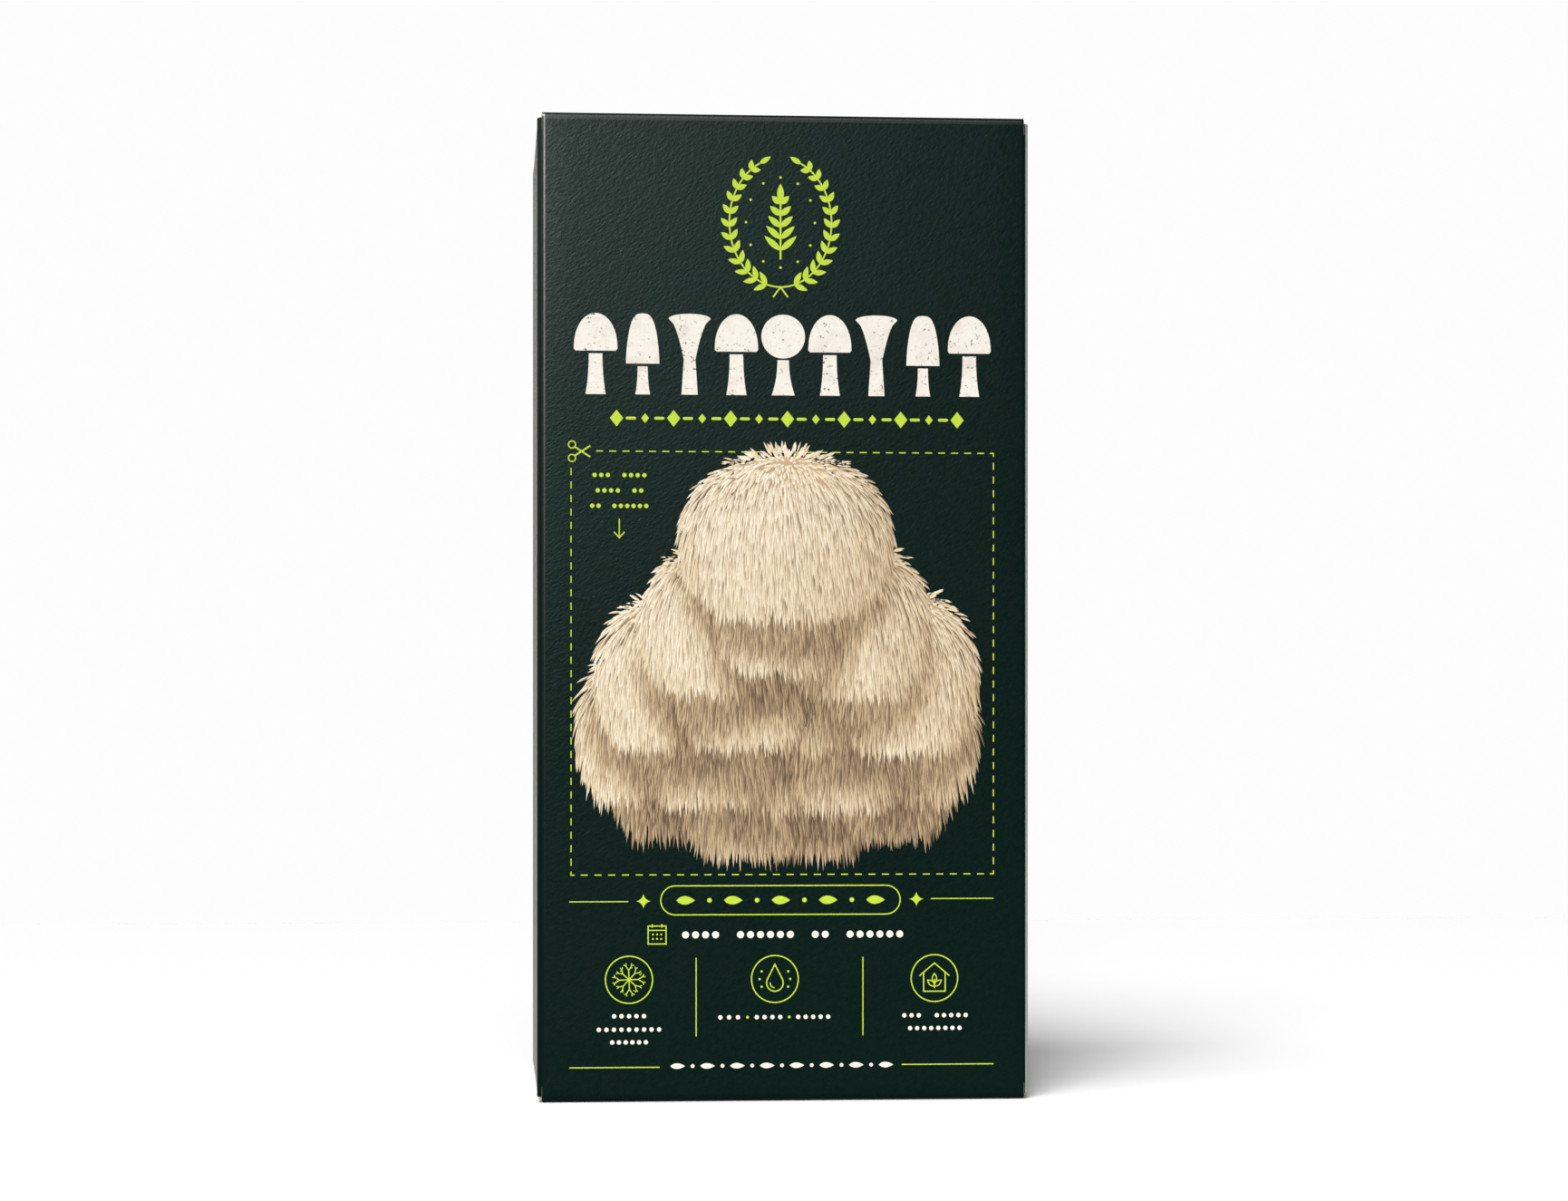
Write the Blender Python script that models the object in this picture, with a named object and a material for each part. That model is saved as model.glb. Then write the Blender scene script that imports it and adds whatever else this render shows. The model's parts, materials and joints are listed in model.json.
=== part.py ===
"""A mushroom grow kit: a closed carton that holds a bagged block of mushroom substrate.

Metres, +Z up, printed front towards -Y, origin at the bottom centre of the carton.
"""

import math

import bmesh
import bpy
from mathutils import Vector

# Driving dimensions
WIDTH = 0.127
DEPTH = 0.095
HEIGHT = 0.254
BOARD = 0.0012
FOLD_RADIUS = 0.0020
GAP = 0.0003
FUSE = 0.0001
FOLD_STEPS = 6

# Planes of the walls
SIDE_X = WIDTH / 2
FRONT_Y = -DEPTH / 2
BACK_Y = DEPTH / 2
FLAP_TOP_Z = HEIGHT - BOARD - GAP

# Creases that the lid and the dust flaps turn on, each on the outer face of the board
LID_CREASE_Y = FRONT_Y + FOLD_RADIUS
FLAP_CREASE_X = SIDE_X - FOLD_RADIUS

# Cuts of the blank at the corners of the mouth
LID_HALF_WIDTH = SIDE_X - 0.0012
FLAP_FRONT_Y = LID_CREASE_Y + 0.003
FLAP_BACK_Y = BACK_Y - 0.009
POST_BOTTOM_Z = 0.0015
RAW_EDGE_SETBACK = 0.0003

# Lid and the tuck that closes it
LID_BACK_Y = BACK_Y - BOARD - 0.0004
TUCK_LENGTH = 0.018
TUCK_LEAN = math.radians(6.6)
TUCK_HALF_WIDTH = 0.0600
TUCK_CORNER = 0.010

# Dust flaps at the top, measured back from the lid crease and in from the flap crease
FLAP_REACH = 0.040
FLAP_SLOPE_END = 0.032
FLAP_BACK_TAPER = 0.004
FLAP_CORNER = 0.006

# Glued bottom and glued side seam
BOTTOM_TUCK_HEIGHT = 0.018
BOTTOM_FLAP_REACH = 0.042
SEAM_TAB_WIDTH = 0.013
SEAM_TAB_TOP_Z = HEIGHT - 0.006
SEAM_FOLD_X = SIDE_X - BOARD + FUSE - FOLD_RADIUS

# Grow bag, drawn tight round the block and folded to a fin above it
BAG_FILM = 0.0008
BAG_HALF_WIDTH = 0.0570
BAG_HALF_DEPTH = 0.0420
BAG_CORNER = 0.010
BAG_BOTTOM_Z = 2 * BOARD - FUSE + GAP
BAG_SHOULDER_Z = 0.186
BAG_FIN_Z = 0.212
BAG_TOP_Z = 0.224
BAG_FIN_HALF_DEPTH = 0.0016
BAG_CORNER_STEPS = 5

# Block of colonised substrate inside the bag
BLOCK_CLEARANCE = 0.0010
BLOCK_TOP_Z = 0.182
BLOCK_BEVEL = 0.008


def clear_scene():
    for old in list(bpy.data.objects):
        bpy.data.objects.remove(old, do_unlink=True)


def surface(name, colour, roughness, metallic=0.0):
    material = bpy.data.materials.new(name)
    material.use_nodes = True
    shader = material.node_tree.nodes["Principled BSDF"]
    shader.inputs["Base Color"].default_value = (*colour, 1.0)
    shader.inputs["Roughness"].default_value = roughness
    shader.inputs["Metallic"].default_value = metallic
    return material


def make_object(name, mesh, material=None):
    piece = bpy.data.objects.new(name, mesh)
    bpy.context.scene.collection.objects.link(piece)
    if material:
        mesh.materials.append(material)
    return piece


def arc(centre, radius, start, end, steps):
    """Points on a circle between two angles in radians, both ends included."""
    return [
        centre + radius * Vector((math.cos(a), math.sin(a)))
        for a in (start + (end - start) * i / steps for i in range(steps + 1))
    ]


def folded_board(corners, turn=1):
    """Closed outline of a strip of board that is folded along a path.

    The corners are where the outer faces would meet if the folds were sharp. The board lies on the left of the
    path for turn 1 and on its right for turn -1, and every fold bends towards that side.
    """
    points = [Vector(corner) for corner in corners]
    outer = [points[0]]
    inner = [points[0] + inward(points[1] - points[0], turn) * BOARD]
    for before, corner, after in zip(points, points[1:], points[2:]):
        in_normal = inward(corner - before, turn)
        out_normal = inward(after - corner, turn)
        half_turn = in_normal.angle(out_normal) / 2
        centre = corner + (in_normal + out_normal).normalized() * FOLD_RADIUS / math.cos(half_turn)
        start = math.atan2(-in_normal.y, -in_normal.x)
        end = start + turn * 2 * half_turn
        outer += arc(centre, FOLD_RADIUS, start, end, FOLD_STEPS)
        inner += arc(centre, FOLD_RADIUS - BOARD, start, end, FOLD_STEPS)
    outer.append(points[-1])
    inner.append(points[-1] + inward(points[-1] - points[-2], turn) * BOARD)
    return tidy_outline(outer + inner[::-1])


def tidy_outline(outline):
    """Whole micrometres, so that flush faces of two solids are exactly flush, and no point twice in a row."""
    snapped = [Vector((round(p.x, 6), round(p.y, 6))) for p in outline]
    return [p for i, p in enumerate(snapped) if p != snapped[i - 1]]


def inward(direction, turn):
    return Vector((-direction.y, direction.x)).normalized() * turn


def rounded_outline(corners, radii, steps=FOLD_STEPS):
    """Closed outline through the corners, counter-clockwise, with each one rounded to its own radius."""
    points = [Vector(corner) for corner in corners]
    outline = []
    for i, (corner, radius) in enumerate(zip(points, radii)):
        if not radius:
            outline.append(corner)
            continue
        in_normal = inward(corner - points[i - 1], 1)
        out_normal = inward(points[(i + 1) % len(points)] - corner, 1)
        half_turn = in_normal.angle(out_normal) / 2
        centre = corner + (in_normal + out_normal).normalized() * radius / math.cos(half_turn)
        start = math.atan2(-in_normal.y, -in_normal.x)
        outline += arc(centre, radius, start, start + 2 * half_turn, steps)
    return tidy_outline(outline)


def rectangle(half_x, half_y, radius, steps=FOLD_STEPS):
    corners = [(-half_x, -half_y), (half_x, -half_y), (half_x, half_y), (-half_x, half_y)]
    return rounded_outline(corners, [radius] * 4, steps)


def along_x(u, v, w):
    return Vector((w, u, v))


def along_y(u, v, w):
    return Vector((u, w, v))


def along_z(u, v, w):
    return Vector((u, v, w))


def prism(name, outline, low, high, place, material=None):
    """Solid between two copies of an outline, at low and high on the axis that place() extrudes along."""
    shape = bmesh.new()
    face = shape.faces.new([shape.verts.new(place(p.x, p.y, low)) for p in outline])
    far = bmesh.ops.extrude_face_region(shape, geom=[face])["geom"]
    bmesh.ops.translate(
        shape,
        verts=[v for v in far if isinstance(v, bmesh.types.BMVert)],
        vec=place(0, 0, high - low),
    )
    bmesh.ops.recalc_face_normals(shape, faces=shape.faces)
    mesh = bpy.data.meshes.new(name)
    shape.to_mesh(mesh)
    shape.free()
    return make_object(name, mesh, material)


def combine(piece, operation, others):
    """Booleans the other solids with the piece in one step and turns them into hidden guides."""
    guides = bpy.data.collections.new(f"{piece.name} {operation.lower()}")
    bpy.context.scene.collection.children.link(guides)
    for other in others:
        bpy.context.scene.collection.objects.unlink(other)
        guides.objects.link(other)
        other.hide_render = True
        other.display_type = "WIRE"
    step = piece.modifiers.new(guides.name, "BOOLEAN")
    step.operation = operation
    step.solver = "EXACT"
    step.operand_type = "COLLECTION"
    step.collection = guides


def smooth_rounds(piece):
    piece.data.shade_smooth()
    piece.data.set_sharp_from_angle(angle=math.radians(30))


def side_wall_strip(side):
    """One side wall from its dust flap crease at the top to the glued dust flap under the bottom."""
    bottom_z = BOARD - FUSE
    path = [
        (side * FLAP_CREASE_X, FLAP_TOP_Z),
        (side * SIDE_X, FLAP_TOP_Z),
        (side * SIDE_X, bottom_z),
        (side * (SIDE_X - BOTTOM_FLAP_REACH), bottom_z),
    ]
    name = f"side_strip_{'right' if side > 0 else 'left'}"
    return prism(name, folded_board(path, turn=-side), FLAP_FRONT_Y, FLAP_BACK_Y, along_y)


def corner_posts():
    """The rounded vertical folds beside the mouth, with the strips of wall that the slots leave standing."""
    front_left = [(-SIDE_X, FLAP_FRONT_Y), (-SIDE_X, FRONT_Y), (-FLAP_CREASE_X, FRONT_Y)]
    front_right = [(FLAP_CREASE_X, FRONT_Y), (SIDE_X, FRONT_Y), (SIDE_X, FLAP_FRONT_Y)]
    back_left = [(-FLAP_CREASE_X, BACK_Y), (-SIDE_X, BACK_Y), (-SIDE_X, FLAP_BACK_Y)]
    paths = {"post_front_left": front_left, "post_front_right": front_right, "post_back_left": back_left}
    return [
        prism(name, folded_board(path), POST_BOTTOM_Z, FLAP_TOP_Z, along_z) for name, path in paths.items()
    ]


def glued_seam():
    """The back wall turns in behind the right side wall, whose raw edge stays on the outside."""
    tab_x = SIDE_X - BOARD + FUSE
    wall_end = BACK_Y - RAW_EDGE_SETBACK
    side_edge = [(SIDE_X, FLAP_BACK_Y), (SIDE_X, wall_end)]
    tab_fold = [(tab_x, BACK_Y - SEAM_TAB_WIDTH), (tab_x, BACK_Y), (SEAM_FOLD_X, BACK_Y)]
    return [
        prism("seam_side_edge", folded_board(side_edge), POST_BOTTOM_Z, FLAP_TOP_Z, along_z),
        prism("seam_tab", folded_board(tab_fold), POST_BOTTOM_Z, SEAM_TAB_TOP_Z, along_z),
    ]


def carton_shell(material):
    """The glued blank: four walls, rounded folds, stubs of the top creases and the closed bottom."""
    inner_back_y = BACK_Y - BOARD + FUSE
    front_path = [
        (LID_CREASE_Y, HEIGHT),
        (FRONT_Y, HEIGHT),
        (FRONT_Y, 0.0),
        (inner_back_y, 0.0),
        (inner_back_y, BOTTOM_TUCK_HEIGHT),
    ]
    shell = prism("carton_shell", folded_board(front_path), -FLAP_CREASE_X, FLAP_CREASE_X, along_x, material)
    back_wall = prism(
        "back_wall",
        folded_board([(SEAM_FOLD_X, BACK_Y), (-FLAP_CREASE_X, BACK_Y)]),
        RAW_EDGE_SETBACK,
        HEIGHT - RAW_EDGE_SETBACK,
        along_z,
    )
    others = [side_wall_strip(-1), side_wall_strip(1), *corner_posts(), back_wall, *glued_seam()]
    combine(shell, "UNION", others)
    smooth_rounds(shell)


def top_lid(material):
    """Lid panel that opens on the front crease, with the tuck that slides behind the back wall."""
    front_y = LID_CREASE_Y + GAP
    drop = Vector((-math.sin(TUCK_LEAN), -math.cos(TUCK_LEAN))) * TUCK_LENGTH
    path = [(LID_BACK_Y + drop.x, HEIGHT + drop.y), (LID_BACK_Y, HEIGHT), (front_y, HEIGHT)]
    lid = prism("top_lid", folded_board(path), -LID_HALF_WIDTH, LID_HALF_WIDTH, along_x, material)

    low_z = HEIGHT - TUCK_LENGTH - BOARD
    high_z = HEIGHT + BOARD
    shoulder_z = HEIGHT - 2 * BOARD
    outline = rounded_outline(
        [
            (-TUCK_HALF_WIDTH, low_z),
            (TUCK_HALF_WIDTH, low_z),
            (TUCK_HALF_WIDTH, shoulder_z),
            (SIDE_X, shoulder_z),
            (SIDE_X, high_z),
            (-SIDE_X, high_z),
            (-SIDE_X, shoulder_z),
            (-TUCK_HALF_WIDTH, shoulder_z),
        ],
        [TUCK_CORNER, TUCK_CORNER, 0, 0, 0, 0, 0, 0],
    )
    combine(lid, "INTERSECT", [prism("lid_cut", outline, FRONT_Y, BACK_Y, along_y)])
    smooth_rounds(lid)


def dust_flap(side, material):
    """Flap under the lid, hinged on a side wall, with its front edge cut on a slope."""
    crease_x = FLAP_CREASE_X - GAP
    tip_x = FLAP_CREASE_X - FLAP_REACH
    corners = [
        (side * crease_x, FLAP_FRONT_Y),
        (side * tip_x, FLAP_FRONT_Y + FLAP_SLOPE_END),
        (side * tip_x, FLAP_BACK_Y - FLAP_BACK_TAPER),
        (side * crease_x, FLAP_BACK_Y),
    ]
    radii = [0, FLAP_CORNER, FLAP_CORNER, 0]
    if side > 0:
        corners.reverse()
        radii.reverse()
    name = f"dust_flap_{'right' if side > 0 else 'left'}"
    flap = prism(name, rounded_outline(corners, radii), FLAP_TOP_Z - BOARD, FLAP_TOP_Z, along_z, material)
    smooth_rounds(flap)


def bag_ring(shape, half_x, half_y, z):
    radius = min(BAG_CORNER, 0.9 * min(half_x, half_y))
    return [shape.verts.new((p.x, p.y, z)) for p in rectangle(half_x, half_y, radius, BAG_CORNER_STEPS)]


def grow_bag(material):
    """Film bag as one skin: flat bottom, straight sides, a gable above the block and a thin open fin."""
    shape = bmesh.new()
    sections = [
        (BAG_HALF_WIDTH - 0.004, BAG_HALF_DEPTH - 0.004, BAG_BOTTOM_Z),
        (BAG_HALF_WIDTH, BAG_HALF_DEPTH, BAG_BOTTOM_Z + 0.005),
        (BAG_HALF_WIDTH, BAG_HALF_DEPTH, BAG_SHOULDER_Z),
        (BAG_HALF_WIDTH - 0.002, BAG_FIN_HALF_DEPTH, BAG_FIN_Z),
        (BAG_HALF_WIDTH - 0.002, BAG_FIN_HALF_DEPTH, BAG_TOP_Z),
    ]
    outside = [bag_ring(shape, *section) for section in sections]
    inside = []
    for half_x, half_y, z in sections:
        lift = BAG_FILM if z == BAG_BOTTOM_Z else 0.0
        inside.append(bag_ring(shape, half_x - BAG_FILM, half_y - BAG_FILM, z + lift))
    for rings in (outside, inside):
        for low, high in zip(rings, rings[1:]):
            bridge(shape, low, high)
    bridge(shape, outside[-1], inside[-1])
    shape.faces.new(outside[0])
    shape.faces.new(inside[0])
    bmesh.ops.recalc_face_normals(shape, faces=shape.faces)
    mesh = bpy.data.meshes.new("grow_bag")
    shape.to_mesh(mesh)
    shape.free()
    smooth_rounds(make_object("grow_bag", mesh, material))


def bridge(shape, low, high):
    count = len(low)
    for i in range(count):
        j = (i + 1) % count
        shape.faces.new((low[i], low[j], high[j], high[i]))


def grow_block(material):
    """Brick of substrate with rounded edges, standing inside the bag."""
    inset = BAG_FILM + BLOCK_CLEARANCE
    low_z = BAG_BOTTOM_Z + inset
    outline = rectangle(BAG_HALF_WIDTH - inset, BAG_HALF_DEPTH - inset, BAG_CORNER - inset, 4)
    block = prism("grow_block", outline, low_z, BLOCK_TOP_Z, along_z, material)
    rounding = block.modifiers.new("rounded rims", "BEVEL")
    rounding.width = BLOCK_BEVEL
    rounding.segments = 3
    rounding.limit_method = "ANGLE"
    rounding.angle_limit = math.radians(60)
    smooth_rounds(block)


def main():
    clear_scene()
    board = surface("dark_green_board", (0.010, 0.024, 0.019), 0.55)
    inside_board = surface("uncoated_board", (0.42, 0.38, 0.33), 0.9)
    film = surface("bag_film", (0.78, 0.80, 0.80), 0.3)
    substrate = surface("colonised_substrate", (0.74, 0.68, 0.57), 0.9)
    carton_shell(board)
    top_lid(board)
    dust_flap(-1, inside_board)
    dust_flap(1, inside_board)
    grow_bag(film)
    grow_block(substrate)


main()
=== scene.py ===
"""A mushroom grow kit: the finish of its carton, print, bag and block, and the studio round it."""

import json
import math
import random

import bmesh
import bpy
import numpy as np
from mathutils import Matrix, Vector, noise

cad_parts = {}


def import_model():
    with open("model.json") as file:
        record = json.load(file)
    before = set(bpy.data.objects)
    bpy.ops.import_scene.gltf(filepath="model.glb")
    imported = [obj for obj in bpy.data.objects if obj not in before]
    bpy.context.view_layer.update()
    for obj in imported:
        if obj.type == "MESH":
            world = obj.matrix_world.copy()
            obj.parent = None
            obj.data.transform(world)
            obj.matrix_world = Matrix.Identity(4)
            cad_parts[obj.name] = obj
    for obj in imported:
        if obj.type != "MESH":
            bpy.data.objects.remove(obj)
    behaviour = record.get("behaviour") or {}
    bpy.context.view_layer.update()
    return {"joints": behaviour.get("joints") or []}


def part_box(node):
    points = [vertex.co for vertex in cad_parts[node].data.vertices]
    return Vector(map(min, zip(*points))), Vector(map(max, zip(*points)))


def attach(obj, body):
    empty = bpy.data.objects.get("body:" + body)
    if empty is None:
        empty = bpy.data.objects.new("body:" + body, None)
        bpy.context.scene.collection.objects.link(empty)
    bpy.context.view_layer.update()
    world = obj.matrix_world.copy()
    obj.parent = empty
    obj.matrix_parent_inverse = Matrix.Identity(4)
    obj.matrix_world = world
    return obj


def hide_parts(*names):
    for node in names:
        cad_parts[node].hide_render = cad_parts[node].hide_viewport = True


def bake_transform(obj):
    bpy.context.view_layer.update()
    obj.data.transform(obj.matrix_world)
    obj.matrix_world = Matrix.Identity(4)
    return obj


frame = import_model()

MM = 0.001

# Sizes that the frame gives
shell_low, shell_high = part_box("carton_shell")
lid_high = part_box("top_lid")[1]
flap_low, flap_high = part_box("dust_flap_left")
bag_low, bag_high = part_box("grow_bag")
block_low, block_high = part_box("grow_block")
joint_at = {joint["name"]: Vector(joint["pos_m"]) for joint in frame["joints"]}

SIDE_X = shell_high.x
FRONT_Y = shell_low.y
BACK_Y = shell_high.y
HEIGHT = shell_high.z
BOARD = flap_high.z - flap_low.z
LID_CREASE_Y = joint_at["top_lid_hinge"].y
FLAP_CREASE_X = joint_at["dust_flap_right_hinge"].x
FLAP_TOP_Z = joint_at["dust_flap_right_hinge"].z
FOLD = SIDE_X - FLAP_CREASE_X
FLAP_FRONT_Y = flap_low.y
FLAP_BACK_Y = flap_high.y
LID_HALF_WIDTH = lid_high.x
SIDE_NAMES = {-1: "left", 1: "right"}

# Board details that only the finish shows
FOLD_STEPS = 10
LID_FOLD = 1.5 * MM
SLIT = 0.05 * MM
RAW_SETBACK = 0.3 * MM
POST_BOTTOM = 1.5 * MM
FLAT_RUN = 1.0 * MM
COMMON_LOW = BOARD + FOLD + FLAT_RUN
COMMON_HIGH = FLAP_TOP_Z - FOLD - FLAT_RUN
GREY_WRAP = 0.84 * MM
SEAM_TAB = 13 * MM
BOTTOM_TUCK = 18 * MM
BOTTOM_FLAP_REACH = 42 * MM
SHARP_ANGLE = 38

# Steps of the board meshes, which have to agree where two patches meet
FRONT_STEPS = 16
SIDE_STEPS = 10
CORNER_STEPS = 4

# Ink lies this far out from the board, and each further layer this much more. Marks of one plain colour take
# turns at many thin levels, so that two which overlap are never in one plane.
INK_LIFT = 0.02 * MM
INK_LAYER = 0.0009 * MM
PLAIN_LEVELS = 61
PLAIN_STEP = 0.2

# Widths of printed lines, in millimetres
HAIRLINE = 0.27
DASH_LINE = 0.29
THIN_LINE = 0.31
BOLD_LINE = 0.42

# Outer ends of the level rules on the front, in millimetres
RULE_LEFT = -55.3
RULE_RIGHT = 54.3


def srgb(red, green, blue):
    """Scene-linear colour from 0 to 255 screen values."""
    values = [v / 255 for v in (red, green, blue)]
    return tuple(v / 12.92 if v <= 0.04045 else ((v + 0.055) / 1.055) ** 2.4 for v in values)


BOARD_GREEN = srgb(6, 24, 19)
BOARD_GREY = srgb(160, 160, 158)
BARE_KRAFT = srgb(205, 186, 160)
CREAM = srgb(229, 222, 211)
LIME = srgb(179, 205, 47)


# Materials

class Surface:
    """A Principled material with short calls for the nodes that vary it."""

    def __init__(self, name, colour, roughness, specular=0.5):
        self.material = bpy.data.materials.new(name)
        self.material.use_nodes = True
        self.nodes = self.material.node_tree.nodes
        self.links = self.material.node_tree.links
        self.shader = self.nodes["Principled BSDF"]
        self.set(self.shader, "Base Color", (*colour, 1.0))
        self.set(self.shader, "Roughness", roughness)
        self.set(self.shader, "Specular IOR Level", specular)
        self.place = self.nodes.new("ShaderNodeTexCoord").outputs["Object"]

    def set(self, node, socket, value):
        if isinstance(value, bpy.types.NodeSocket):
            self.links.new(value, node.inputs[socket])
        else:
            node.inputs[socket].default_value = value

    def add(self, kind, **settings):
        """A node with its properties set by lower-case names and its inputs by capitalised ones."""
        node = self.nodes.new(kind)
        for name, value in settings.items():
            if name[0].islower():
                setattr(node, name, value)
            else:
                self.set(node, name.replace("_", " "), value)
        return node

    def noise(self, scale, detail=3.0, roughness=0.5, stretch=None, turn=0.0):
        """Noise whose grain is longer along each axis by the factors in stretch, turned about y."""
        place = self.place
        if stretch:
            mapping = self.add("ShaderNodeMapping", vector_type="TEXTURE", Vector=place)
            mapping.inputs["Scale"].default_value = stretch
            mapping.inputs["Rotation"].default_value = (0, turn, 0)
            place = mapping.outputs["Vector"]
        made = self.add("ShaderNodeTexNoise", Vector=place, Scale=scale, Detail=detail, Roughness=roughness)
        return made.outputs["Fac"]

    def ramp(self, value, low=0.3, high=0.7, to_low=0.0, to_high=1.0):
        made = self.add("ShaderNodeMapRange", Value=value)
        for socket, number in zip(("From Min", "From Max", "To Min", "To Max"), (low, high, to_low, to_high)):
            made.inputs[socket].default_value = number
        return made.outputs["Result"]

    def math(self, operation, first, second=0.0):
        made = self.add("ShaderNodeMath", operation=operation)
        self.set(made, 0, first)
        self.set(made, 1, second)
        return made.outputs["Value"]

    def mix(self, share, first, second):
        made = self.add("ShaderNodeMix", data_type="RGBA")
        self.set(made, 0, share)
        self.set(made, 6, first if isinstance(first, bpy.types.NodeSocket) else (*first, 1.0))
        self.set(made, 7, second if isinstance(second, bpy.types.NodeSocket) else (*second, 1.0))
        return made.outputs[2]

    def bump(self, height, strength, distance, under=None):
        made = self.add("ShaderNodeBump", Height=height, Strength=strength, Distance=distance)
        if under:
            self.set(made, "Normal", under)
        return made.outputs["Normal"]

    def colour(self, value):
        self.set(self.shader, "Base Color", value)

    def roughness(self, grain, low, high):
        """Roughness between two numbers, following a grain."""
        self.set(self.shader, "Roughness", self.ramp(grain, to_low=low, to_high=high))

    def normal(self, value):
        self.set(self.shader, "Normal", value)


def soft_touch(surface, relief=1.0):
    """The fine leathery pebble of the laminate, which runs on under every ink."""
    pebble = surface.noise(1800, 2.0, 0.5, stretch=(1.9, 1.0, 1.0), turn=math.radians(-38))
    low = surface.bump(pebble, 0.34 * relief, 0.00013)
    surface.normal(surface.bump(surface.noise(3600, 2.0, 0.6), 0.18 * relief, 0.00006, under=low))
    return pebble


def green_board(name, specular, rougher=0.0, relief=1.0, sheen=(0.82, 1.0, 0.95), foot=None):
    """Dark green laminate. With a foot value it shines less and less toward the carton's foot."""
    made = Surface(name, BOARD_GREEN, 0.3, specular)
    made.set(made.shader, "Specular Tint", (*sheen, 1.0))
    pebble = soft_touch(made, relief)
    tone = made.mix(made.ramp(made.noise(26)), srgb(3, 20, 16), srgb(5, 22, 18))
    # The pebble's raised tops are painted a paler green, a painted highlight.
    made.colour(made.mix(made.ramp(pebble, 0.35, 0.75, 0.0, 0.35), tone, srgb(8, 27, 22)))
    made.roughness(made.noise(700), 0.24 + rougher, 0.32 + rougher)
    if foot is not None:
        height = made.add("ShaderNodeSeparateXYZ", Vector=made.place).outputs["Z"]
        share = made.math("POWER", made.math("DIVIDE", height, HEIGHT), 2.4)
        made.set(made.shader, "Specular IOR Level", made.ramp(share, 0.0, 1.0, foot, specular))
    return made.material


def grey_board():
    made = Surface("grey_board", BOARD_GREY, 0.7, 0.3)
    fibre = made.noise(420, 4.0, 0.6, stretch=(1.0, 1.0, 4.0))
    tone = made.mix(made.ramp(made.noise(18)), srgb(156, 156, 154), srgb(164, 164, 161))
    made.colour(made.mix(made.ramp(fibre, 0.45, 0.75, 0.0, 0.4), tone, srgb(141, 140, 137)))
    made.roughness(fibre, 0.62, 0.8)
    made.normal(made.bump(fibre, 0.25, 0.0001))
    return made.material


def bare_board():
    """The uncoated inside of the board, kraft with darker and paler fibres and a few dark flecks."""
    made = Surface("bare_board", BARE_KRAFT, 0.9, 0.15)
    fibre = made.noise(520, 5.0, 0.65, stretch=(1.0, 1.0, 3.3))
    fleck = made.noise(1500, 2.0)
    tone = made.mix(made.ramp(fibre), srgb(186, 164, 134), srgb(214, 197, 171))
    made.colour(made.mix(made.ramp(fleck, 0.66, 0.72, 0.0, 0.6), tone, srgb(150, 124, 94)))
    made.roughness(fibre, 0.82, 0.95)
    made.normal(made.bump(fibre, 0.4, 0.00012))
    return made.material


def cut_edge():
    """A cut through the board: two liners and the wave of the fluting between them, with the hollows painted
    dark brown as shade.
    """
    flute_pitch = 1.25
    made = Surface("cut_edge", BARE_KRAFT, 0.95, 0.1)
    edge = made.add("ShaderNodeUVMap", uv_map="edge")
    along, through, _ = made.add("ShaderNodeSeparateXYZ", Vector=edge.outputs["UV"]).outputs
    wave = made.math("SINE", made.math("MULTIPLY", along, 2 * math.pi / flute_pitch))
    middle = made.math("ADD", made.math("MULTIPLY", wave, 0.27), 0.5)
    off_wave = made.math("ABSOLUTE", made.math("SUBTRACT", through, middle))
    off_middle = made.math("ABSOLUTE", made.math("SUBTRACT", through, 0.5))
    fluting = made.ramp(off_wave, 0.10, 0.16, 1.0, 0.0)
    paper = made.math("MAXIMUM", fluting, made.ramp(off_middle, 0.32, 0.38))
    pale = made.mix(made.ramp(made.noise(2500), 0.35, 0.65), srgb(199, 180, 158), srgb(222, 208, 190))
    # Between the liners and the fluting the hollows are painted dark brown, a painted shade.
    made.colour(made.mix(paper, srgb(96, 78, 60), pale))
    made.normal(made.bump(paper, 0.5, 0.0002))
    return made.material


def ink(name, colour, worn=False):
    """Matt ink on the laminate. Worn ink is stained, and has pinholes where the board shows through."""
    made = Surface(name, colour, 0.5, 0.35)
    pebble = soft_touch(made)
    painted_hollow_shade = tuple(0.86 * v for v in colour)
    # The ink is painted deeper in the pebble's hollows, a painted shade.
    tone = made.mix(made.ramp(pebble, 0.35, 0.7, 0.5, 0.0), colour, painted_hollow_shade)
    if worn:
        stain = made.ramp(made.noise(150, 4.0, 0.6), 0.48, 0.72, 0.0, 0.55)
        tone = made.mix(stain, tone, srgb(196, 184, 168))
        pinhole = made.ramp(made.noise(1250, 2.0, 0.6), 0.635, 0.67)
        patch = made.ramp(made.noise(130), 0.40, 0.58, 0.3, 1.0)
        tone = made.mix(made.math("MULTIPLY", pinhole, patch), tone, srgb(84, 84, 74))
    made.colour(tone)
    made.roughness(made.noise(900, 2.0), 0.45, 0.58)
    return made.material


def picture_ink():
    """Printed picture: each mark's own colour, under the same laminate."""
    made = Surface("picture_ink", CREAM, 0.5, 0.3)
    # The pebble's hollows are painted darker and its tops paler, a painted shade and highlight.
    shade = made.ramp(soft_touch(made), to_low=0.93, to_high=1.03)
    painted = made.add("ShaderNodeVertexColor", layer_name="ink").outputs["Color"]
    tinted = made.add("ShaderNodeVectorMath", operation="SCALE", Vector=painted, Scale=shade)
    made.colour(tinted.outputs["Vector"])
    made.roughness(made.noise(900, 2.0), 0.46, 0.58)
    return made.material


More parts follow.
